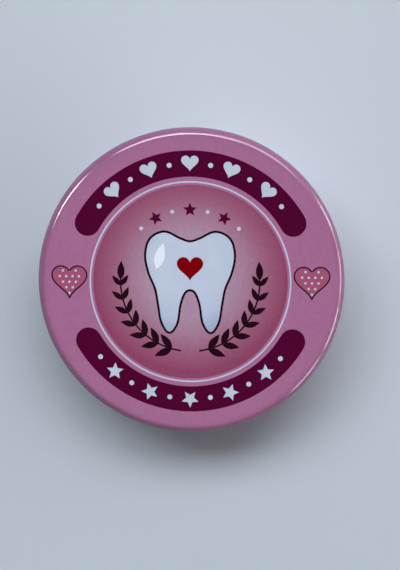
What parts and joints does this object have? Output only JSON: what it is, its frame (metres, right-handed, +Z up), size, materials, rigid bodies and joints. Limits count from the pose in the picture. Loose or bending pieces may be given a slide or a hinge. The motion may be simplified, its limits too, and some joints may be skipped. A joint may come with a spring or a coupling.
{
  "type": "baby tooth box",
  "caption": "Shallow round tin with a lift-off lid over a soft tray that has a ring of cells for milk teeth and a round well in the middle.",
  "frame": {"origin": "middle of the tin's foot, on the surface that it stands on", "axes": "+Z up, the way the lid lifts off; +Y towards the top of the picture on the lid; the body's side seam is at +Y"},
  "size_m": [0.1, 0.1, 0.026],
  "materials": {
    "printed_tinplate": "gloss",
    "body_tinplate": "gloss",
    "bottom_tinplate": "satin",
    "lid_foam": "matte",
    "tray_foam": "matte"
  },
  "bodies": {
    "tin_body": {"body_wall": "body_tinplate", "bottom_plate": "bottom_tinplate", "tray_base": "tray_foam", "tray_cells": "tray_foam"},
    "lid": {"lid_shell": "printed_tinplate", "lid_pad": "lid_foam"}
  },
  "joints": [
    {"name": "lid_lift", "type": "slide", "parent": "tin_body", "child": "lid", "axis": [0, 0, 1], "range_m": [0, 0.06]}
  ]
}
